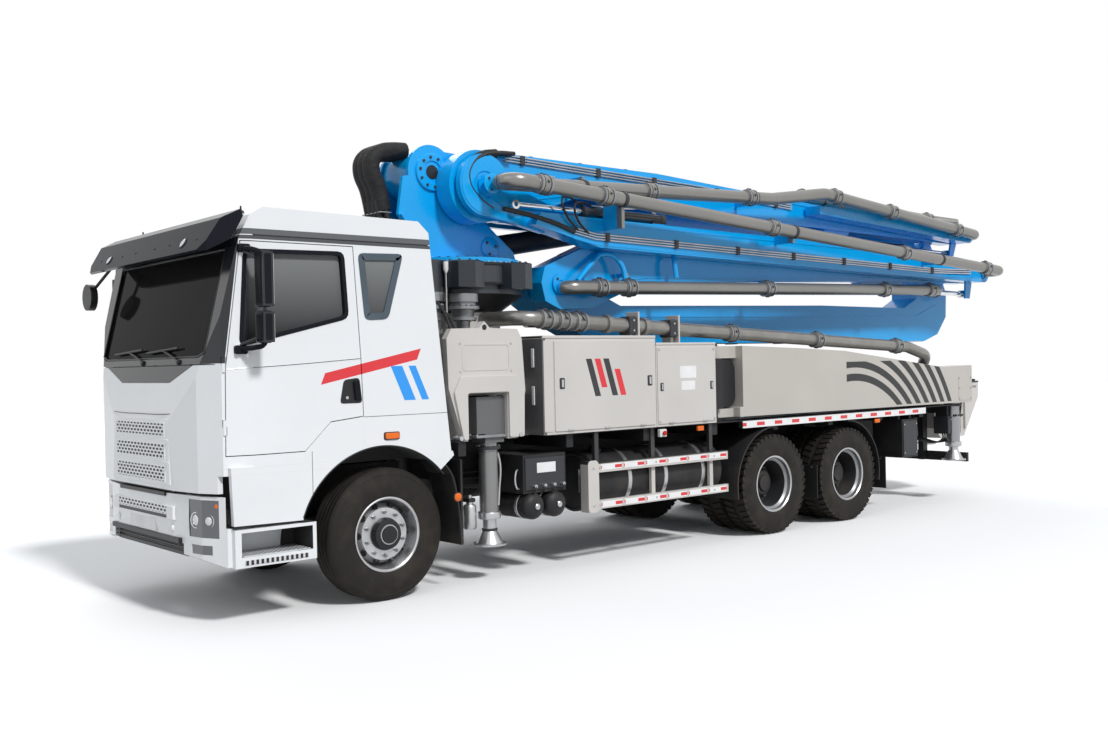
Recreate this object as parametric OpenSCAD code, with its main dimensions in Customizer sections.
// Truck-mounted concrete pump: 6x4 cab-over chassis, six-section folding boom, four outriggers, hopper.
// Every X in a module is measured from the front axle; at_axle() moves the piece into the part's frame.

/* [Overall] */
// Overall length, bumper to rear end of the folded boom
overall_l = 11990; // [11990:10:12400]
// Front bumper ahead of the front axle
front_overhang = 1560; // [1500:10:1700]
// Front axle to first rear axle
wheelbase = 4870; // [4700:10:5000]
// Spacing of the two rear axles
axle_gap = 1350; // [1300:10:1400]
// Body width
body_w = 2500; // [2480:10:2550]

/* [Wheels] */
// Tyre diameter over the tread
tyre_d = 1076; // [1040:2:1090]
// Tyre width
tyre_w = 315; // [280:5:320]
// Rim flange diameter
rim_d = 597; // [560:1:610]
// Front track, between tyre centres
front_track = 2050; // [2000:10:2080]
// Rear track, between outer tyre centres
rear_outer_track = 2180; // [2140:10:2184]
// Distance between twin tyres
twin_gap = 350; // [340:5:360]
// Wheel bearing radius on its spindle
spindle_r = 45; // [35:1:55]

/* [Chassis] */
// Outside width over the chassis rails
rails_w = 860; // [820:10:900]
// Rail height
rail_h = 280; // [240:10:300]
// Top of the rails above the ground
rail_top = 1060; // [1040:5:1080]
// Top of the deck frame
deck_z = 1250; // [1240:5:1260]

/* [Cab] */
// Roof height
roof_z = 3100; // [3050:5:3120]
// Cab floor underside
floor_z = 1120; // [1110:5:1130]
// Wall and door thickness
wall = 55; // [45:1:60]
// Glass thickness
glass_t = 8; // [5:1:10]
// Gap round the doors
door_gap = 7; // [5:1:10]

/* [Outriggers] */
// Section of the front sliding beams
front_beam = [300, 320]; // [260:5:320]
// Stroke of the jacks
jack_stroke = 550; // [500:10:600]
// Length of the rear swing beams, hinge to tip
rear_beam_l = 4900; // [4800:10:4920]

/* [Boom] */
// Slew axis behind the front axle
slew_x = -1600; // [-1620:5:-1590]
// Inner lane half-width: turret ears, first and second section
lane0 = 255; // [240:5:258]
// Second lane: third and fifth section, from and to
laneA = [285, 500]; // [280:1:505]
// Outer lane: fourth and sixth section, from and to
laneB = [530, 745]; // [525:1:760]
// Delivery pipe diameter
pipe_d = 140; // [125:1:150]
// Clearance between pieces that move past each other
run_gap = 6; // [5:1:10]

/* [Hidden] */
$fn = 48;

white = [0.93, 0.94, 0.95];
grey = [0.70, 0.69, 0.66];
black = [0.08, 0.08, 0.09];
dark = [0.22, 0.23, 0.25];
blue = [0.02, 0.45, 0.90];
steel = [0.62, 0.62, 0.60];

xf = overall_l / 2 - front_overhang;
xr = [-wheelbase, -wheelbase - axle_gap];
half_w = body_w / 2;
tyre_r = tyre_d / 2;
rim_r = rim_d / 2;
axle_z = tyre_r;
rail_z = rail_top - rail_h;
front_y = front_track / 2;
rear_y = rear_outer_track / 2;
pipe_r = pipe_d / 2;
run_fit = 0.05;
// Seam between pieces that rest on each other
seam = 0.3;

// Boom pins, [x, z]: lift pin, then the knuckles between sections 1-2, 2-3, 3-4, 4-5, 5-6, and the tip
lift_pin = [-1130, 3700];
k12 = [-9650, 3330];
k23 = [-2480, 2680];
end_r = 140;
k34 = [front_overhang - overall_l + end_r, 3060];
k45 = [-1500, 3570];
k56 = [-9900, 3560];
tip = [-6450, 3680];
barrel_pin = [-1800, 3030];
rod_pin = [-4300, 3460];

module at_axle() translate([xf, 0, 0]) children();
module block(x, y, z) translate([x[0], y[0], z[0]]) cube([x[1] - x[0], y[1] - y[0], z[1] - z[0]]);
module both() { children(); mirror([0, 1, 0]) children(); }
module side(right) mirror([0, right ? 1 : 0, 0]) children();

// An outline drawn in X and Z, with thickness from y0 to y1
module plate(y, points) translate([0, y[1], 0]) rotate([90, 0, 0]) linear_extrude(y[1] - y[0]) polygon(points);
// An outline drawn in Y and Z, with thickness from x0 to x1
module bulkhead(x, points) translate([x[0], 0, 0]) rotate([90, 0, 90]) linear_extrude(x[1] - x[0]) polygon(points);
module ycyl(p, y, r) translate([p[0], y[1], p[1]]) rotate([90, 0, 0]) cylinder(h = y[1] - y[0], r = r);
module xcyl(x, y, z, r) translate([x[0], y, z]) rotate([0, 90, 0]) cylinder(h = x[1] - x[0], r = r);
module zcyl(x, y, z, r) translate([x, y, z[0]]) cylinder(h = z[1] - z[0], r = r);

// A straight bar of radius r from p to q
module bar(p, q, r) {
  d = q - p;
  translate(p) rotate([0, acos(d[2] / norm(d)), atan2(d[1], d[0])]) cylinder(h = norm(d), r = r);
}

function unit(a) = a / norm(a);

// A pipe through points, with round elbows; bend is their centre-line radius, one for all or one a point
module pipe_run(points, r, bend) {
  lap = 4;
  n = len(points) - 1;
  b = [for (i = [0:n]) is_list(bend) ? bend[i] : bend];
  cut = [for (i = [0:n]) i == 0 || i == n ? lap :
    let (u = unit(points[i - 1] - points[i]), v = unit(points[i + 1] - points[i]))
    b[i] * tan((180 - acos(u * v)) / 2)];
  for (i = [0:n - 1]) {
    d = unit(points[i + 1] - points[i]);
    bar(points[i] + d * (cut[i] - lap), points[i + 1] - d * (cut[i + 1] - lap), r);
  }
  if (n > 1) for (i = [1:n - 1]) {
    u = unit(points[i - 1] - points[i]);
    v = unit(points[i + 1] - points[i]);
    turn = 180 - acos(u * v);
    centre = points[i] + unit(u + v) * b[i] / cos(turn / 2);
    e1 = unit(points[i] + u * cut[i] - centre);
    t2 = unit(points[i] + v * cut[i] - centre);
    e2 = unit(t2 - e1 * (t2 * e1));
    e3 = cross(e1, e2);
    multmatrix([[e1[0], e2[0], e3[0], centre[0]], [e1[1], e2[1], e3[1], centre[1]], [e1[2], e2[2], e3[2], centre[2]]])
      rotate_extrude(angle = turn) translate([b[i], 0]) circle(r - 0.6);
  }
}

// Clamp couplings on a straight stretch from p to q, at shares s of its length
module clamps(p, q, s, r) {
  d = unit(q - p);
  for (t = s) {
    c = p + (q - p) * t;
    bar(c - d * 30, c + d * 30, r + 18);
  }
}

// Chassis
// Cab tilt pivot behind the bumper, [x, z], and the radius of its pins
tilt = [1480, 850];
tilt_pin = 14;
module chassis_frame() color(black) at_axle() {
  both() {
    plate([405, 434], [[1180, 800], [1180, 905], [1475, 876], [1500, 850], [1475, 824]]);
    ycyl(tilt, [433, 474], tilt_pin);
    // Rear rest of the cab
    block([-560, -460], [345, 425], [rail_top - 1, floor_z - 0.3]);
  }
  x = [-8900, 1240];
  both() difference() {
    block(x, [rails_w / 2 - 80, rails_w / 2], [rail_z, rail_top]);
    block([x[0] - 1, x[1] + 1], [rails_w / 2 - 81, rails_w / 2 - 8], [rail_z + 8, rail_top - 8]);
  }
  for (cx = [-8880, -7900, -7000, -6300, -5590, -4400, -3500, -2600, -1700, 1100])
    block([cx, cx + 90], [-rails_w / 2 + 8, rails_w / 2 - 8], [rail_z + 30, rail_top - 30]);
}

module deck_frame() color(dark) at_axle() {
  y = [rails_w / 2 - 90, rails_w / 2 - 10];
  z = [rail_top + 60, deck_z - 10 - seam];
  both() block([-8900, -700], y, [rail_top, deck_z - 10]);
  // Cross members, in three pieces round the rails
  for (cx = [-8900, -7900, xr[1] - 780, xr[1] + 220, xr[0] - 130, -4000, -3000, -2000, -780]) {
    block([cx, cx + 80], [-y[0] + seam, y[0] - seam], z);
    both() block([cx, cx + 80], [y[1] + seam, cx < -8000 ? 900 : half_w - 60], z);
  }
  both() {
    block([-8600, -1730], [rails_w / 2, half_w - 20], [deck_z - 10, deck_z]);
    block([-7880, -4330], [half_w - 50, half_w], [1170, deck_z - 10 - seam]);
    // Post between the rear beam's eyes, with the hinge pin
    zcyl(hinge[0], hinge[1], [deck_z + seam, 2060], 50);
    zcyl(hinge[0], hinge[1], [deck_z + seam, 1284], 95);
    zcyl(hinge[0], hinge[1], [1386, 1904], 95);
    block([hinge[0] + 20, hinge[0] + 120], [hinge[1] - 160, hinge[1] + 150], [1386, 1904]);
    block([hinge[0] + 106, hinge[0] + 166], [hinge[1] - 160, hinge[1] + 150], [deck_z + seam, 1904]);
  }
}

// Engine, gearbox and drive shafts
module engine() color(dark) at_axle() {
  block([-700, 900], [-330, 330], [560, 1070]);
  xcyl([-1500, -700], 0, 770, 160);
  bar([-1500, 0, 740], [xr[0] + 303, 0, 560], 45);
  bar([xr[0] - 235, 0, 560], [xr[1] + 300.3, 0, 560], 40);
  both() block([300, 420], [330, rails_w / 2 - 80.3], [800, 900]);
}

module axle_beam() {
  w = front_y - 180;
  bulkhead([-50, 50], [[-w, 470], [-w, 600], [-w + 60, 600], [-560, 480], [560, 480], [w - 60, 600],
    [w, 600], [w, 470], [w - 60, 470], [600, 370], [-600, 370], [-w + 60, 470]]);
  both() zcyl(0, w, [470, 600], 60);
}

module leaf_spring(cx, half_l, z, y) {
  for (i = [0:3]) block([cx - half_l + i * 150, cx + half_l - i * 150], [y - 40, y + 40], [z - i * 22, z + 20 - i * 22 + 2]);
}

module axles() color(black) at_axle() {
  difference() {
    axle_beam();
    both() zcyl(0, front_y - 180, [400, 700], 26 + run_fit);
  }
  both() {
    leaf_spring(0, 780, 620, 380);
    block([-90, 90], [340, 420], [478, 556]);
    for (x = [-780, 700]) block([x, x + 80], [345, 415], [640, rail_z]);
  }
  for (x = xr) {
    difference() {
      union() {
        ycyl([x, axle_z], [-rear_y + twin_gap + tyre_w / 2 + 12, rear_y - twin_gap - tyre_w / 2 - 12], 85);
        translate([x, 0, axle_z]) sphere(r = 235);
        xcyl([x + 200, x + 300], 0, 560, 60);
        both() ycyl([x, axle_z], [500, rear_y - 40], spindle_r);
      }
    }
  }
  both() {
    mid = (xr[0] + xr[1]) / 2;
    leaf_spring(mid, 640, 700, 390);
    block([mid - 120, mid + 120], [350, 430], [540, 640]);
    block([mid - 60, mid + 60], [350, 425], [720, rail_z]);
    for (x = xr) block([x - 70, x + 70], [350, 430], [axle_z + 40, 702]);
  }
}

// Wheels, drawn with the outer side towards +Y and the tyre centre at the origin
module tyre(y) {
  w = tyre_w / 2;
  b = rim_r - 12;
  rotate([-90, 0, 0]) rotate_extrude() translate([0, y])
    polygon([[b, -w + 30], [rim_r + 40, -w], [tyre_r - 80, -w], [tyre_r - 22, -w + 14], [tyre_r, -w + 40],
      [tyre_r, w - 40], [tyre_r - 22, w - 14], [tyre_r - 80, w], [rim_r + 40, w], [b, w - 30]]);
}

module rim_barrel(y) {
  w = tyre_w / 2 - 22;
  rotate([-90, 0, 0]) rotate_extrude() translate([0, y])
    polygon([[rim_r - 45, -w], [rim_r, -w], [rim_r, w], [rim_r - 22, w], [rim_r - 45, w - 60]]);
}

module front_wheel() {
  difference() {
    union() {
      tyre(0);
      rim_barrel(0);
      rotate([-90, 0, 0]) rotate_extrude() polygon([[0, -60], [120, -60], [140, 60], [215, 66], [262, 20],
        [262, 34], [222, 84], [118, 92], [112, 150], [90, 162], [0, 162]]);
    }
    ycyl([0, 0], [-70, 80], spindle_r + run_fit);
    for (i = [0:9]) rotate([0, i * 36 + 18, 0]) ycyl([222, 0], [0, 100], 20);
  }
}

module rear_wheel() {
  inner = -twin_gap;
  difference() {
    union() {
      for (y = [0, inner]) {
        tyre(y);
        rim_barrel(y);
      }
      rotate([-90, 0, 0]) rotate_extrude() polygon([[0, inner - 60], [150, inner - 60], [165, inner + 120],
        [205, inner + 155], [262, inner + 100], [262, inner + 120], [215, inner + 175], [262, -90], [262, -70],
        [200, -140], [150, -145], [140, -50], [95, -20], [0, -20]]);
    }
    ycyl([0, 0], [inner - 70, -39], spindle_r + run_fit);
  }
}

module place_wheel(x, y, right) at_axle() side(right) translate([x, y, axle_z]) children();
module wheel_front_left() color(dark) place_wheel(0, front_y, false) front_wheel();
module wheel_front_right() color(dark) place_wheel(0, front_y, true) front_wheel();
module wheel_mid_left() color(dark) place_wheel(xr[0], rear_y, false) rear_wheel();
module wheel_mid_right() color(dark) place_wheel(xr[0], rear_y, true) rear_wheel();
module wheel_rear_left() color(dark) place_wheel(xr[1], rear_y, false) rear_wheel();
module wheel_rear_right() color(dark) place_wheel(xr[1], rear_y, true) rear_wheel();

// Steering knuckle: two ears round the axle eye, kingpin and wheel spindle
module knuckle() at_axle() {
  y = front_y - 180;
  zcyl(0, y, [400, 690], 26);
  for (z = [[400, 463], [607, 690]]) {
    zcyl(0, y, z, 58);
    block([-50, 50], [y, y + 110], z);
  }
  block([-60, 60], [y + 68, y + 112], [400, 690]);
  ycyl([0, axle_z], [y + 80, front_y + 78], spindle_r);
}
module knuckle_left() color(dark) knuckle();
module knuckle_right() color(dark) side(true) knuckle();

// Cab
// Cab side outline, moved inwards by t
function cab_side(t) = [[-590 + t, floor_z + t], [1430 - 2 * t, floor_z + t], [1430 - 2 * t, 1945 - t],
  [1484 - t, 1945], [1265 - t, 2860], [1180 - t, roof_z - 60 - t], [1080 - t, roof_z - t], [-300 + t, roof_z - 20 - t],
  [-400 + t, roof_z - 110 - t]];
// Cab plan outline, moved inwards by t
function cab_plan(t) = [[-700, -half_w + t], [1180, -half_w + t], [1400 - t / 2, -half_w + 60 + t],
  [1500 - t, -half_w + 280 + t / 2], [1560 - t, -half_w + 700], [1580 - t, 0], [1560 - t, half_w - 700],
  [1500 - t, half_w - 280 - t / 2], [1400 - t / 2, half_w - 60 - t], [1180, half_w - t], [-700, half_w - t]];

module cab_solid(t) intersection() {
  plate([-half_w, half_w], cab_side(t));
  translate([0, 0, 500]) linear_extrude(3000) polygon(cab_plan(t));
}

arch_x = 80;
arch_z = 500;
arch_r = 760;
// Door outline, moved inwards by t
function door_outline(t) = [[1385 - t, 1262 + t], [1375 - t, 1900], [1255 - t, 2846 - t], [315 + t, 2846 - t],
  [262 + t, 1960], [250 + t, 1505 + t], [545, 1475 + t], [770, 1262 + t]];
window_outline = [[1262, 2080], [1225, 2770], [412, 2785], [382, 2290]];
quarter_outline = [[250, 2770], [-112, 2780], [25, 2300], [205, 2290]];

door_depth = 140;
// Door hinges: axis [x, y], lower ends, knuckle and pin radius
door_axis = [1385, half_w - 56];
hinge_z = [1420, 1880];
hinge_r = 13;
hinge_pin = 7;
module cab_shell() color(white) at_axle() {
  top = roof_z - 165;
  difference() {
    cab_body();
    // Seams between floor, walls, roof and the panels below
    for (z = [floor_z - seam, floor_z + wall, top])
      block([-700, 1700], [-half_w - 1, half_w + 1], [z, z + seam]);
    both() block([-700, 1700], [half_w - wall - seam, half_w - wall], [floor_z + wall, top]);
    // The side walls come apart above, behind and below the doors
    side_y = [half_w - wall - seam, half_w + 1];
    both() {
      block([-700, 1700], side_y, [2840, 2840 + seam]);
      for (c = [[252, 1550], [760, 1300]]) block([c[0], c[0] + seam], side_y, [floor_z + wall, c[1]]);
    }
  }
  both() for (z = hinge_z) {
    zcyl(door_axis[0], door_axis[1], [z, z + 60], hinge_r);
    zcyl(door_axis[0], door_axis[1], [z + 59, z + 110], hinge_pin);
  }
}

module cab_body() difference() {
  union() {
    difference() {
      cab_solid(0);
      cab_solid(wall);
    }
    lower_panels();
    // Arms down to the tilt pivot; they bend back so that they pass over the bumper
    both() {
      ycyl(tilt, [440, 470], 26);
      plate([440, 470], [[1460, 830], [1498, 869], [1405, 950], [1377, 1000], [1377, floor_z + 1], [1320, floor_z + 1],
        [1320, 985], [1365, 915]]);
    }
    // Wheel houses
    intersection() {
      cab_solid(0);
      both() ycyl([arch_x, arch_z], [half_w - 350, half_w], arch_r + 30);
    }
  }
  both() {
    ycyl([arch_x, arch_z], [half_w - 320, half_w + 1], arch_r);
    plate([half_w - door_depth, half_w + 1], door_outline(0));
    plate([half_w - door_depth, half_w + 1], quarter_outline);
  }
  windscreen_hole();
  both() for (z = hinge_z) zcyl(door_axis[0], door_axis[1], [z + 58, z + 112], 18);
  both() ycyl(tilt, [439, 471], tilt_pin + run_fit);
  bulkhead([1378, 1700], [[-1138.3, 900], [1138.3, 900], [1138.3, 1940], [-1138.3, 1940]]);
}

// White panels under the doors, with the wheel arches
module lower_panels() both() plate([half_w - 45, half_w], [[1355, 755], [1370, floor_z + 60], [-600, floor_z + 60],
  [-611, 1143], [-437, 1000], [701, 744]]);

module windscreen_hole() bulkhead([1150, 1700], [[-1060, 2020], [-960, 1990], [960, 1990], [1060, 2020], [1060, 2800],
  [-1060, 2800]]);

function panel_side(t) = [[1200, 990 - t], [1545 - t, 990 - t], [1560 - t, 1500], [1485 - t, 1935 + t], [1200, 1935 + t]];
module front_panel() color(white) at_axle() difference() {
  intersection() {
    plate([-1138, 1138], panel_side(0));
    linear_extrude(2500) polygon(cab_plan(0));
  }
  intersection() {
    plate([-1139, 1139], panel_side(40));
    linear_extrude(2500) polygon(cab_plan(40));
  }
  for (z = [1060:60:1480]) block([1400, 1700], [-480, 480], [z, z + 28]);
}

module cab_glass() color([0.15, 0.17, 0.2]) at_axle() {
  intersection() {
    difference() {
      cab_solid(18);
      cab_solid(18 + glass_t);
    }
    bulkhead([1150, 1700], [[-1059.7, 2020.3], [-960, 1990.3], [960, 1990.3], [1059.7, 2020.3], [1059.7, 2799.7],
      [-1059.7, 2799.7]]);
  }
  both() plate([half_w - 20 - glass_t, half_w - 20], [[249.7, 2769.7], [-111.6, 2779.7], [25.3, 2300.3], [204.8, 2290.3]]);
}

module sun_visor() color(black) at_axle() {
  for (y = [-820, 0, 820]) block([1232.4, 1300], [y - 20, y + 20], [2930, 2960]);
  visor();
}
module visor() intersection() {
  plate([-half_w - 30, half_w + 30], [[1240, 3020], [1330, 2850], [1500, 2760], [1540, 2770], [1400, 3000], [1260, 3070]]);
  translate([90, 0, 2000]) linear_extrude(1500) polygon(cab_plan(-20));
}

// Mirror in front of the far corner of the windscreen
module front_mirror() color(black) at_axle() {
  bar([1400, -1010, 2799.4], [1495, -1240, 2600], 13);
  xcyl([1475, 1535], -1240, 2560, 115);
}

module cab_interior() color(dark) at_axle() {
  floor_top = floor_z + wall + 0.3;
  for (y = [-640, 640]) {
    block([100, 620], [y - 240, y + 240], [floor_top, 1560]);
    block([0, 160], [y - 240, y + 240], [1560 + seam, 2260]);
  }
  // Dashboard and steering wheel
  block([1000, 1300], [-1050, 1050], [1500, 1880]);
  block([1200, 1300], [-1050, 1050], [floor_top, 1500 - seam]);
  difference() {
    bar([1030, 640, 1777], [812, 640, 1944], 30);
    block([1000 - seam, 1100], [500, 800], [1600, 2000]);
  }
  translate([820, 640, 1940]) rotate([0, -50, 0]) {
    rotate_extrude() translate([220, 0]) circle(16);
    for (a = [0, 120, 240]) rotate([0, 0, a]) block([0, 215], [-14, 14], [-8, 8]);
  }
}

// Outer skin of the cab in plan, as thick as a door
module side_skin(t) translate([0, 0, 500]) linear_extrude(3000) difference() {
  polygon(cab_plan(0));
  polygon(cab_plan(t));
}

// Door with its window opening; the mirrors stand on it
module door(right) at_axle() side(right) {
  difference() {
    intersection() {
      side_skin(wall);
      plate([half_w - door_depth, half_w + 1], door_outline(door_gap));
    }
    plate([half_w - 400, half_w + 1], window_outline);
    for (z = hinge_z) zcyl(door_axis[0], door_axis[1], [z - 5, z + 60.3], 18);
    for (z = hinge_z) zcyl(door_axis[0], door_axis[1], [z + 60, z + 112], hinge_pin + run_fit);
  }
  for (z = hinge_z) difference() {
    zcyl(door_axis[0], door_axis[1], [z + 60.3, z + 107], hinge_r);
    zcyl(door_axis[0], door_axis[1], [z + 60, z + 112], hinge_pin + run_fit);
  }
  bar([1245, half_w - 30, 2780], [1172, half_w + 150, 2700], 14);
  bar([1290, half_w - 40, 2065], [1172, half_w + 150, 2140], 14);
  zcyl(1172, half_w + 195, [2100, 2740], 14);
  bar([1172, half_w + 150, 2700], [1172, half_w + 195, 2690], 14);
  bar([1172, half_w + 150, 2140], [1172, half_w + 195, 2150], 14);
  block([1130, 1215], [half_w + 130, half_w + 260], [2350, 2745]);
  block([1130, 1215], [half_w + 130, half_w + 260], [2090, 2310]);
}
module door_left() color(white) door(false);
module door_right() color(white) door(true);

// Bumper profile, moved inwards by t
function bumper_side(t) = [[1346 - t, 452 - t], [1385 - t, 450 - t], [1520 - t, 520], [1560 - t, 800], [1545 - t, 965 - t],
  [1385 - t, 965 - t], [1385 - t, 735], [1346 - t, 735]];
module bumper_solid(t) intersection() {
  plate([-half_w, half_w], bumper_side(t));
  translate([-20, 0, 0]) linear_extrude(1100) polygon(cab_plan(t));
}
headlamp = [[800, 1120], [660, 940]];
foglamp = [[830, 1060], [535, 605]];
function inset(r, d) = [r[0] + d, r[1] - d];

module bumper_steps() color(white) at_axle() {
  difference() {
    bumper_solid(0);
    intersection() {
      plate([-half_w, half_w], [[1100, 300], [1380, 300], [1500, 560], [1512, 915], [1100, 915]]);
      translate([-20, 0, 0]) linear_extrude(1100) polygon(cab_plan(48));
    }
    both() {
      block([1300, 1700], headlamp[0], headlamp[1]);
      block([1300, 1700], foglamp[0], foglamp[1]);
    }
    // Notches behind the top edge for the cab's tilt arms
    both() block([1300, 1522], [400, 485], [810, 1000]);
    block([1400, 1700], [-720, 720], [500, 600]);
    block([1400, 1700], [-620, 620], [780, 860]);
  }
  both() difference() {
    block([690, 1350], [half_w - 330, half_w], [445, 725]);
    block([720, 1300], [half_w - 300, half_w + 1], [520, 700]);
  }
  // Carriers to the frame
  both() block([1190, 1530], [352, 404.7], [800, 900]);
  both() block([1100, 1180], [rails_w / 2 + 0.3, half_w - 329], [600, 680]);
  both() block([1100, 1180], [rails_w / 2 + 0.3, rails_w / 2 + 60], [600, 1000]);
}

module lamps() color(steel) at_axle() {
  both() intersection() {
    difference() {
      bumper_solid(4);
      bumper_solid(54);
    }
    union() {
      block([1300, 1700], inset(headlamp[0], 0.3), inset(headlamp[1], 0.3));
      block([1300, 1700], inset(foglamp[0], 0.3), inset(foglamp[1], 0.3));
    }
  }
  // Tail lamps on the rear cross bar
  both() block([-9030, -8990.3], [850, 1150], [490, 590]);
}

// Boxes, tanks and guards
module deck_boxes() color(grey) at_axle() for (right = [false, true]) side(right) {
  block([-3045, -1690 - (right ? 150 : 0)], [780, half_w], [deck_z, 2140]);
  if (!right) block([-1691, -1600], [962, half_w], [deck_z, 2140]);
  block([-3925, -3050], [900, half_w], [deck_z, 2070]);
}

module tanks() color(black) at_axle() for (right = [false, true]) side(right) {
  y = right ? half_w - 120 : half_w - 60;
  translate([right ? -300 : 0, 0, 0]) {
    ycyl([-1510, 620], [700, y], 118);
    ycyl([-1770, 620], [700, y], 118);
    block([-1900, -1400], [600, y], [736, 1080]);
    block([-1850, -1790], [rails_w / 2 + 0.3, 601], [850, 1000]);
  }
  xcyl([xr[0] + 790, -2262], 880, 760, 288);
  for (x = [xr[0] + 1070, -2500]) block([x, x + 60], [rails_w / 2 + 0.3, 700], [800, 1000]);
}

module side_guards() color(grey) at_axle() both() {
  for (z = [[525, 605], [865, 955]]) block([xr[0] + 780, -2250 - seam], [half_w - 40, half_w], z);
  for (x = [xr[0] + 970, -3050, -2300 - seam])
    block([x, x + 50], [half_w - 75, half_w - 40 - seam], [525, deck_z - 10 - seam]);
  block([-2250, -2130], [half_w - 110, half_w], [500, 975]);
}

module mudguards() color(dark) at_axle() both() {
  for (a = [[xr[0], 1], [xr[1], -1]]) {
    difference() {
      ycyl([a[0], axle_z], [560, half_w - 4], tyre_r + 90);
      ycyl([a[0], axle_z], [559, half_w], tyre_r + 75);
      block([a[0] - 1000, a[0] + 1000], [500, half_w + 1], [-500, 420]);
      block(a[1] > 0 ? [a[0] - 1000, a[0]] : [a[0], a[0] + 1000], [500, half_w + 1], [-500, 2000]);
      block([a[0] - 1000, a[0] + 1000], [500, half_w + 1], [1162, 2000]);
    }
    block(a[1] > 0 ? [a[0], a[0] + 60] : [a[0] - 60, a[0]], [560, half_w - 60], [1152, deck_z - 10.3]);
  }
  block([-700, -680], [880, half_w - 10], [380, 1100]);
  block([-699.7, -680], [rails_w / 2 + 0.3, 881], [900, 1100]);
}

module tail_frame() color(black) at_axle() {
  block([-8990, -8950], [-half_w + 60, half_w - 60], [480, 600]);
  both() {
    block([-8999.7, -8900], [500, 580], [480, deck_z - 10]);
    block([xr[1] - 1500, xr[1] - 1160], [800, half_w - 30], [640, 1110]);
    for (x = [xr[1] - 1480, xr[1] - 1230]) block([x, x + 50], [820, 1150], [1109, deck_z - 10.3]);
  }
}

// Hopper and pump
shaft = [-9500, 1080];
shaft_end = 35;
grate_x = [-10090, -9460];
rim_z = 1513.7;
grate_pin = [-9418, 1530];
module hopper() color(grey) at_axle() difference() {
  union() {
    plate([-700, 700], [[-9150, 760], [-9750, 760], [-10150, 1300], [-10150, rim_z], [-9000, rim_z], [-9000, 900]]);
    // Hinge eyes of the grate, on the cover over the front part
    for (y = [-500, 500]) block([-9436, -9380], [y - 60, y - 12], [1499, 1550]);
  }
  difference() {
    plate([-650, 650], [[-9160, 810], [-9740, 810], [-10100, 1300], [-10100, rim_z + 1], [-9050, rim_z + 1], [-9050, 900]]);
    block([-9390, -9000], [-651, 651], [1500, rim_z]);
    for (y = [-500, 500]) block([-9436, -9380], [y - 60, y - 12], [1499, 1550]);
  }
  ycyl(shaft, [-701, 701], shaft_end + run_fit);
  ycyl(grate_pin, [-600, 600], 12 + run_fit);
}
module hopper_grate() color(dark) at_axle() {
  for (y = [-640:80:640]) block([grate_x[0], grate_x[1]], [y - 6, y + 6], [1514, 1546]);
  for (x = [grate_x[0] - 55, -9760, grate_x[1] - 20]) block([x, x + 20], [-660, 660], [1514, 1546]);
  block([grate_x[0] - 50, grate_x[0] + 1], [-646, 646], [1514, 1526]);
  for (y = [-500, 500]) {
    block([-9466, -9405], [y - 6, y + 40], [1514, 1546]);
    ycyl(grate_pin, [y - 66, y + 20], 12);
  }
}
module agitator() color(dark) at_axle() {
  ycyl(shaft, [-706, 706], shaft_end);
  for (i = [0:3]) translate([shaft[0], 0, shaft[1]]) rotate([0, i * 45, 0]) block([-200, 200], [i * 270 - 420, i * 270 - 395], [-30, 30]);
}
module pump_unit() color(steel) at_axle() {
  both() xcyl([-8000, -5000], 190, 1500, 115);
  block([-6700, -6300], [-360, 360], [deck_z - 10, 1700]);
  both() xcyl([-5000, -4200], 190, 1500, 80);
  block([-4260, -4180], [-345, 345], [deck_z - 10, 1620]);
  block([-8999.7, -8000], [-345, 345], [deck_z - 10, 1680]);
}

module deck_pipe() color(steel) at_axle() {
  y = 950;
  pts = [[slew_x, 400.3, 2320], [slew_x, y, 2320], [-7950, y, 2010], [-8400, y, 1900],
    [-8700, 600, 1500], [-8700, 345.3, 1500]];
  pipe_run(pts, pipe_r, [0, 200, 400, 200, 200, 0]);
  clamps(pts[1], pts[2], [0.17, 0.25, 0.46, 0.7, 0.96], pipe_r);
  // Brackets on the boxes
  for (x = [-2980, -3560]) block([x, x + 40], [y - 60, y + 60], [(x > -3045 ? 2140.3 : 2070.3), 2230]);
}

// Pedestal and front outriggers
beam_z = [1295, 1295 + front_beam[1]];
beam_x = [-1220, -1220 + front_beam[0]];
// The right beam lies behind the left one, so that each is as long as the truck is wide
beam_step = front_beam[0] + 90;
beam_in = 930;
beam_out = half_w - 85;
shaft_r = 85;

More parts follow.
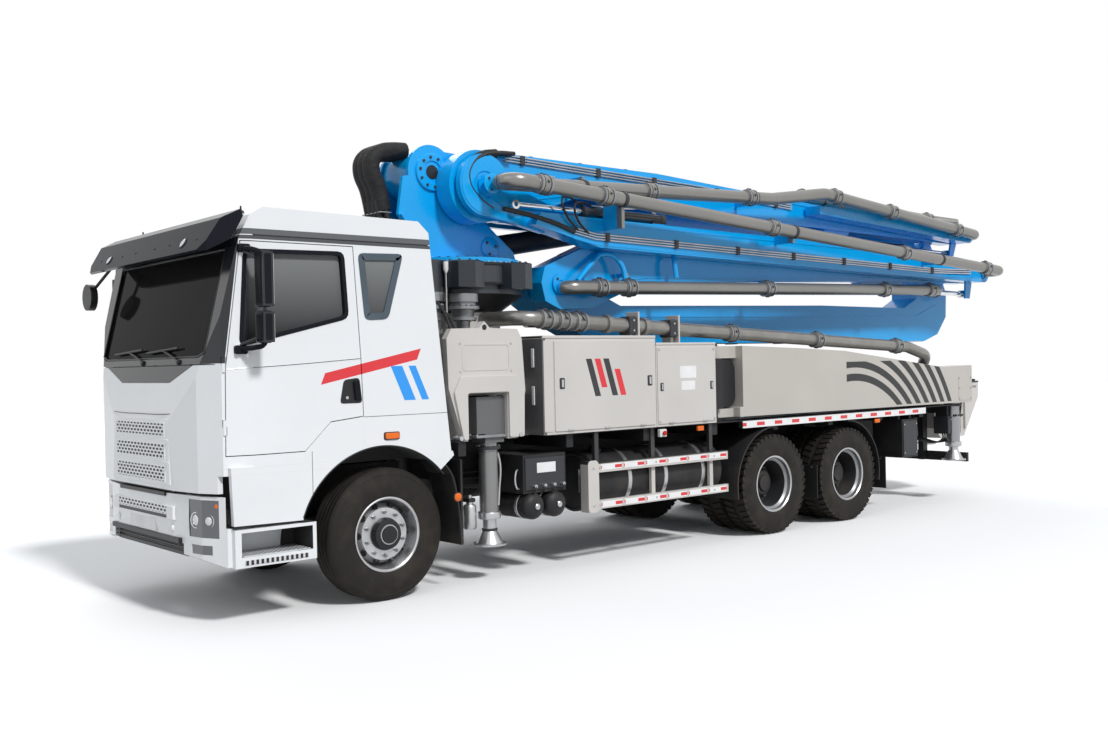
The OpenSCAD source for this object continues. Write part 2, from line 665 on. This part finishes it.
module pedestal() color(grey) at_axle() {
  pedestal_body();
  // Wear pads that the beams slide on
  for (right = [false, true]) side(right) translate([right ? -beam_step : 0, 0, 0])
    for (y = [-900, 880]) block(beam_x, [y, y + 60], [beam_z[0] - run_gap - 1, beam_z[0] - 0.3]);
}
module pedestal_body() difference() {
  union() {
    zcyl(slew_x, 0, [1750, 2560], 400);
    translate([slew_x, 0, 2400]) cylinder(h = 160, r1 = 400, r2 = 620);
    // Cross box that holds both sliding beams
    block([beam_x[0] - beam_step - 60, beam_x[1] + 60], [-950, 950], [deck_z - 10, 1760]);
    // Shield plates at both sides, joined to the box by a top plate
    for (right = [false, true]) side(right) translate([right ? -beam_step : 0, 0, 0]) {
      plate([half_w - 110, half_w - 40], [[-1330, 1245], [-745, 1245], [-600, 1700], [-588, 2120], [-640, 2205],
        [-930, 2212], [-988, 2270], [-1050, 2212], [-1350, 2205], [-1400, 2120], [-1430, 1660]]);
      block([-1270, -900], [949, half_w - 109], [1700, 1760]);
    }
  }
  for (right = [false, true]) side(right) translate([right ? -beam_step : 0, 0, 0]) {
    block([beam_x[0] - run_gap, beam_x[1] + run_gap], [-951, half_w + 1], [beam_z[0] - run_gap, beam_z[1] + run_gap]);
    block([-1225, -790], [half_w - 120, half_w], [1200, 1650]);
  }
}

slew_r = 660;
module slew_drive() color(black) at_axle() {
  difference() {
    union() {
      zcyl(slew_x, 0, [2560, 2640], 620);
      zcyl(slew_x, 0, [2640, 2850], slew_r);
      for (y = [-430, 430]) {
        zcyl(slew_x + 680, y, [2480, 2850], 180);
        zcyl(slew_x + 680, y, [2180, 2480], 130);
      }
    }
    zcyl(slew_x, 0, [2500, 2900], 300);
  }
}

// Sliding beam with the outer tube of its jack
tube_y = beam_out - 100;
tube_bottom = 540;
rod_r = 60;
module jack_tube(x, y, z) difference() {
  zcyl(x, y, z, shaft_r);
  zcyl(x, y, [z[0] - 1, z[1] - 60], rod_r + run_fit);
}
module front_beam_part(right) at_axle() side(right) translate([right ? -beam_step : 0, 0, 0]) {
  difference() {
    block(beam_x, [-beam_in, beam_out], beam_z);
    zcyl(-1110, tube_y, [beam_z[0] - 1, beam_z[0] + 60], rod_r + run_fit);
  }
  difference() {
    block([-1212, -1008], [965, beam_out], [1215, beam_z[0]]);
    zcyl(-1110, tube_y, [1200, 1296], shaft_r - 1);
  }
  jack_tube(-1110, tube_y, [tube_bottom, beam_z[0] + 60]);
}
module front_beam_left() color(dark) front_beam_part(false);
module front_beam_right() color(dark) front_beam_part(true);

// Jack rod with its foot; sliding fit inside the tube
module jack(x, y, top, foot) {
  zcyl(x, y, [foot + 130, top], rod_r);
  translate([x, y, foot + 20]) cylinder(h = 111, r1 = 120, r2 = 62);
  zcyl(x, y, [foot, foot + 20], 148);
}
module front_jack_part(right) at_axle() side(right)
  jack(-1110 - (right ? beam_step : 0), tube_y, beam_z[0] - 120, 310);
module front_jack_left() color(steel) front_jack_part(false);
module front_jack_right() color(steel) front_jack_part(true);

// Rear swing beam: box on a vertical pin at its front end
hinge = [-4100, 1060];
beam_tip = hinge[0] - rear_beam_l;
jack_r = [beam_tip + 210, 1090];
rear_tube = [690, 1745];
module rear_beam() at_axle() {
  difference() {
    union() {
      plate([960, half_w], [[hinge[0] - 250, 1290], [beam_tip, 1270], [beam_tip, 1755], [-8300, 1740], [-7320, 1845],
        [-6180, 1968], [-5340, 2005], [hinge[0] - 250, 2037]]);
      for (z = [[1290, 1380], [1910, 2037]]) {
        zcyl(hinge[0], hinge[1], z, 100);
        block([hinge[0] - 260, hinge[0]], [hinge[1] - 100, hinge[1] + 100], z);
      }
    }
    zcyl(hinge[0], hinge[1], [1200, 2100], 50 + run_fit);
    zcyl(jack_r[0], jack_r[1], [1200, rear_tube[1] - 60], rod_r + run_fit);
  }
  jack_tube(jack_r[0], jack_r[1], rear_tube);
}
module rear_beam_left() color(grey) rear_beam();
module rear_beam_right() color(grey) side(true) rear_beam();
module rear_jack_part(right) at_axle() side(right) jack(jack_r[0], jack_r[1], rear_tube[1] - 200, 510);
module rear_jack_left() color(steel) rear_jack_part(false);
module rear_jack_right() color(steel) rear_jack_part(true);

// Boom
ear_t = 42;
fork = 95;

module turret() color(blue) at_axle() {
  difference() {
    union() {
      zcyl(slew_x, 0, [2850.3, 2900], 600);
      both() plate([lane0 - ear_t, lane0], [[-2130, 2890], [-1060, 2890], [-760, 3290], [-815, 3640], [lift_pin[0], 3700],
        [-1440, 3640], [-1560, 3420], [-2090, 3000]]);
      both() ycyl(lift_pin, [lane0 - ear_t, lane0], 256);
      both() plate([fork + 20, lane0 - ear_t], [[-2060, 2890], [-1560, 2890], [-1560, 2960], [-1700, 3130], [-1900, 3130],
        [-2060, 2960]]);
      block([-1090, -1060], [-lane0 + ear_t, lane0 - ear_t], [2890, 3180]);
    }
    ycyl(barrel_pin, [-300, 300], 45 + run_fit);
  }
  ycyl(lift_pin, [-lane0 - 12, lane0 + 12], 90);
}

// Lift cylinder; its rod's eye meets the first section's lugs, where the linkage is opened
lift_dir = unit([rod_pin[0] - barrel_pin[0], 0, rod_pin[1] - barrel_pin[1]]);
lift_l = norm(rod_pin - barrel_pin);
lift_stroke = 1300;
module along_lift() translate([barrel_pin[0], 0, barrel_pin[1]])
  rotate([0, acos(lift_dir[2]), atan2(lift_dir[1], lift_dir[0])]) children();
module lift_barrel() color(black) at_axle() {
  difference() {
    union() {
      ycyl(barrel_pin, [-fork, fork], 95);
      along_lift() cylinder(h = lift_l - 330, r = 108);
    }
    along_lift() translate([0, 0, 300]) cylinder(h = lift_l, r = 60 + run_fit);
  }
  ycyl(barrel_pin, [-lane0 + ear_t - 4, lane0 - ear_t + 4], 45);
}
module lift_rod() color(steel) at_axle() difference() {
  union() {
    along_lift() translate([0, 0, lift_l - 330 - lift_stroke - 150]) cylinder(h = lift_stroke + 480, r = 60);
    ycyl(rod_pin, [-70, 70], 85);
  }
  ycyl(rod_pin, [-71, 71], 45);
}

module arm_1() color(blue) at_axle() {
  w = lane0 - ear_t - run_gap;
  difference() {
    union() {
      plate([-w, w], [[-1130, 3925], [-9380, 3560], [-9380, 3140], [-4830, 3240], [-1960, 3290], [-1480, 3380],
        [-1130, 3470]]);
      ycyl(lift_pin, [-w, w], 228);
      plate([-fork + run_gap, fork - run_gap], [[-9380, 3550], [-9380, 3150], [k12[0], k12[1] - 165], [k12[0], k12[1] + 165]]);
      ycyl(k12, [-fork + run_gap, fork - run_gap], 165);
    }
    // Slot that the lift cylinder works in
    plate([-fork - 30, fork + 30], [[-1300, 3100], [-1500, 3470], [-1900, 3480], [-4100, 3690], [-4500, 3690], [-4650, 3100]]);
    ycyl(lift_pin, [-w - 1, w + 1], 90 + run_fit);
    ycyl(k12, [-fork, fork], 60 + run_fit);
  }
  both() ycyl(rod_pin, [75, fork + 30], 80);
}

module arm_2() color(blue) at_axle() {
  w = 200;
  difference() {
    union() {
      plate([-w, w], [[k12[0] + 210, k12[1]], [-9420, 2700], [-9100, 2560], [-7200, 2565], [-3600, 2500], [-2800, 2820],
        [k23[0], k23[1] + 180], [k23[0] + 90, k23[1] - 160], [-2700, 2330], [-3200, 2110], [-5400, 2090], [-9600, 2100],
        [-9950, 2200], [-10180, 2450], [-10200, 2800], [-9860, 3330]]);
      ycyl(k12, [-w, w], 210);
      ycyl(k23, [-w, w], 185);
      ycyl(k23, [w, laneA[0] - run_gap], 150);
    }
    ycyl(k12, [-fork, fork], 250);
    plate([-fork, fork], [[k12[0] + 300, k12[1] + 300], [k12[0] - 300, k12[1] + 300], [k12[0] - 250, k12[1]],
      [k12[0] + 40, k12[1] - 245], [k12[0] + 300, k12[1] - 245]]);
  }
  ycyl(k12, [-w - 15, w + 15], 60);
  ycyl(k23, [w - 10, laneA[1] + 8], 70);
  ycyl(k23, [laneA[1] + 1, laneA[1] + 12], 100);
}

barrel_34 = [[-8250, 435, 2790], [-9550, 435, 2775]];
barrel_45 = [[-3800, 660, 3385], [-2650, 660, 3395]];
barrel_56 = [[-7100, 440, 3385], [-8700, 440, 3355]];
function along(p, d) = p[0] + (p[1] - p[0]) * d / norm(p[1] - p[0]);

// Cylinder barrel of outer radius r with a bore for its rod
module barrel(p, r) bar(p[0], p[1], r);
module barrel_bore(p, r) bar(along(p, 200), along(p, norm(p[1] - p[0]) + 50), r + run_fit);

module arm_3() color(blue) at_axle() {
  difference() {
    union() {
      plate(laneA, [[-2240, 2690], [-2290, 2850], [-2480, 2928], [-3000, 3140], [-3670, 3150], [-7250, 3170],
        [k34[0], k34[1] + end_r], [k34[0], k34[1] - end_r], [-8300, 2880], [-7250, 2850], [-3670, 2730], [-2900, 2450],
        [-2480, 2432], [-2290, 2510]]);
      ycyl(k34, laneA, end_r);
      plate([laneA[0] + 40, laneA[1] - 40], [[-7500, 2900], [-8700, 2900], [-8500, 2740], [-8100, 2740]]);
      barrel(barrel_34, 62);
    }
    ycyl(k23, [laneA[0] - 1, laneA[1] + 1], 70 + run_fit);
    barrel_bore(barrel_34, 36);
  }
  ycyl(k34, [laneA[1] - 10, laneB[1] + 8], 60);
  ycyl(k34, [laneB[1] + 1, laneB[1] + 12], 90);
}

module arm_4() color(blue) at_axle() {
  thin = laneB[0] + 70;
  difference() {
    union() {
      plate(laneB, [[k34[0], k34[1] + end_r], [-9000, 3270], [-2600, 3330], [-2050, 3340], [-1980, 3220], [-2800, 3040],
        [-9000, 2930], [k34[0], k34[1] - end_r]]);
      plate([laneB[0], thin], [[-2600, 3330], [-1800, 3600], [k45[0], k45[1] + 290], [k45[0], k45[1] - 290],
        [-1900, 3220], [-2200, 3160]]);
      ycyl(k34, laneB, end_r);
      ycyl(k45, [laneB[0], thin], 290);
      plate([laneA[1] + 6, laneB[0] + 1], [[k34[0] - 80, k34[1]], [-10270, 2700], [-10150, 2700], [k34[0] + 110, k34[1]]]);
      barrel(barrel_45, 52);
      block([-3780, -3600], [640, 710], [3300, 3380]);
    }
    ycyl(k34, [laneA[1], laneB[1] + 1], 60 + run_fit);
    ycyl(k45, [laneB[0] - 1, thin + 1], 60 + run_fit);
    barrel_bore(barrel_45, 28);
  }
}

lever_45 = [laneB[0] + 76, laneB[0] + 98];
module arm_5() color(blue) at_axle() {
  difference() {
    union() {
      plate(laneA, [[k45[0], k45[1] + 340], [-3900, 3910], [k56[0], k56[1] + 80], [k56[0], k56[1] - 100], [-2700, 3550],
        [-2000, 3300], [k45[0], k45[1] - 340]]);
      ycyl(k45, laneA, 340);
      ycyl(k56, laneA, 100);
      plate([laneA[0] + 40, laneA[1] - 40], [[-6900, 3540], [-7500, 3540], [-7300, 3330], [-7000, 3330]]);
      barrel(barrel_56, 50);
    }
    barrel_bore(barrel_56, 26);
  }
  // Knuckle pin, with the lever that the cylinder turns at its outer end
  ycyl(k45, [laneA[1] - 1, lever_45[1]], 60);
  ycyl(k45, lever_45, 95);
  plate(lever_45, [[k45[0] + 60, k45[1] - 60], [-1760, 3350], [-1830, 3380], [k45[0] - 60, k45[1] + 60]]);
  ycyl(k56, [laneA[1] - 10, laneB[1] + 8], 45);
}

module arm_6() color(blue) at_axle() difference() {
  union() {
    plate(laneB, [[tip[0], tip[1] + 50], [tip[0], tip[1] - 50], [k56[0], k56[1] - 100], [k56[0], k56[1] + 100]]);
    ycyl(k56, laneB, 100);
    plate([laneA[1] + 6, laneB[0] + 1], [[k56[0] - 70, k56[1]], [-9850, 3290], [-9740, 3290], [k56[0] + 90, k56[1]]]);
  }
  ycyl(k56, [laneA[1], laneB[1] + 1], 45 + run_fit);
}

// Rod of a knuckle cylinder, from p inside the barrel to the eye q; the eye is y wide
module knuckle_rod(p, q, r, eye, y) {
  difference() {
    union() {
      bar(p, q, r);
      ycyl([q[0], q[2]], y, eye);
    }
    ycyl([q[0], q[2]], [y[0] - 1, y[1] + 1], eye * 0.5);
  }
}
module rod_34() color(steel) at_axle()
  knuckle_rod(along(barrel_34, 260), along(barrel_34, 1960), 36, 55, [400, laneA[1]]);
module rod_45() color(steel) at_axle()
  knuckle_rod(along(barrel_45, 260), along(barrel_45, 2010), 28, 45, [632, 690]);
module rod_56() color(steel) at_axle()
  knuckle_rod(along(barrel_56, 260), along(barrel_56, 2690), 26, 42, [400, laneA[1]]);

// Concrete pipes of the boom
pipe_y = 1010;
module pipe_1() color(steel) at_axle() {
  y = -370;
  pts = [[lift_pin[0], y, lift_pin[1]], [k12[0], y, k12[1]]];
  pipe_run(pts, pipe_r, 200);
  clamps(pts[0], pts[1], [0.02, 0.34, 0.67, 0.97], pipe_r);
  for (x = [-3000, -6000, -8800]) {
    z = lift_pin[1] + (x - lift_pin[0]) * (k12[1] - lift_pin[1]) / (k12[0] - lift_pin[0]);
    block([x, x + 40], [y, -lane0 + ear_t + run_gap], [z - 30, z + 30]);
  }
}
module pipe_2() color(steel) at_axle() {
  y = -320;
  pts = [[-9900, y, 2350], [-2700, y, 2350]];
  pipe_run(pts, pipe_r, 300);
  clamps(pts[0], pts[1], [0.05, 0.5, 0.95], pipe_r);
  for (x = [-3500, -6000, -8800]) block([x, x + 40], [y, -200], [2320, 2380]);
}
module pipe_3() color(steel) at_axle() {
  y = 640;
  pts = [[k23[0], laneA[1] + 20, k23[1] - 40], [k23[0], y, k23[1] - 40], [-9300, y, 2790], [-9300, laneA[1] + 0.3, 2790]];
  pipe_run(pts, pipe_r, 110);
  clamps(pts[1], pts[2], [0.06, 0.12, 0.45, 0.8, 0.96], pipe_r);
  for (x = [-3300, -5600, -8000]) {
    z = pts[1][2] + (x - k23[0]) * (pts[2][2] - pts[1][2]) / (pts[2][0] - k23[0]);
    block([x, x + 40], [laneA[1], y], [max(z, 2790) - 20, max(z, 2790) + 20]);
  }
}
module pipe_4() color(steel) at_axle() {
  pts = [[k34[0], laneB[1] + 14, k34[1]], [k34[0], pipe_y, k34[1]], [k45[0], pipe_y, k45[1]], [k45[0], 860, k45[1]]];
  pipe_run(pts, pipe_r, 130);
  clamps(pts[2], pts[1], [0.04, 0.13, 0.42, 0.72, 0.95], pipe_r);
  for (x = [-2900, -5600, -8700]) {
    z = k34[1] + (x - k34[0]) * (k45[1] - k34[1]) / (k45[0] - k34[0]);
    block([x, x + 40], [laneB[1], pipe_y], [min(z, 3270) - 60, max(z, 3200)]);
  }
}
module pipe_5() color(steel) at_axle() {
  pts = [[k45[0], 850, k45[1]], [k45[0], 770, k45[1]], [-5500, 770, 3730], [-6400, 850, 3850],
    [k56[0], 850, k56[1]], [k56[0], laneB[1] + 14, k56[1]]];
  pipe_run(pts, pipe_r, [0, 75, 300, 300, 78, 0]);
  clamps(pts[1], pts[2], [0.15, 0.5, 0.9], pipe_r);
  clamps(pts[3], pts[4], [0.06, 0.4, 0.85], pipe_r);
  for (x = [-2600, -5200]) block([x, x + 40], [laneA[1], 770], [3640, 3720]);
}
module pipe_6() color(steel) at_axle() {
  pts = [[tip[0] - 50, 390, 3890], [-9500, 390, 3790], [-9860, 570, 3745]];
  pipe_run(pts, pipe_r, 150);
  clamps(pts[0], pts[1], [0.03, 0.5, 0.97], pipe_r);
  block([-7000, -6960], [390, 700], [3835, 3860]);
  block([-7000, -6960], [660, 700], [3720, 3860]);
  block([-9840, -9800], [550, 590], [3662.6, 3700]);
}

chassis_frame();
deck_frame();
engine();
axles();
bumper_steps();
lamps();
pedestal();
slew_drive();
deck_boxes();
side_guards();
tanks();
mudguards();
tail_frame();
hopper();
pump_unit();
deck_pipe();
cab_shell();
cab_glass();
front_panel();
sun_visor();
front_mirror();
cab_interior();
door_left();
door_right();
knuckle_left();
knuckle_right();
wheel_front_left();
wheel_front_right();
wheel_mid_left();
wheel_mid_right();
wheel_rear_left();
wheel_rear_right();
hopper_grate();
agitator();
front_beam_left();
front_beam_right();
front_jack_left();
front_jack_right();
rear_beam_left();
rear_beam_right();
rear_jack_left();
rear_jack_right();
turret();
lift_barrel();
lift_rod();
arm_1();
arm_2();
arm_3();
arm_4();
arm_5();
arm_6();
pipe_1();
pipe_2();
pipe_3();
pipe_4();
pipe_5();
pipe_6();
rod_34();
rod_45();
rod_56();
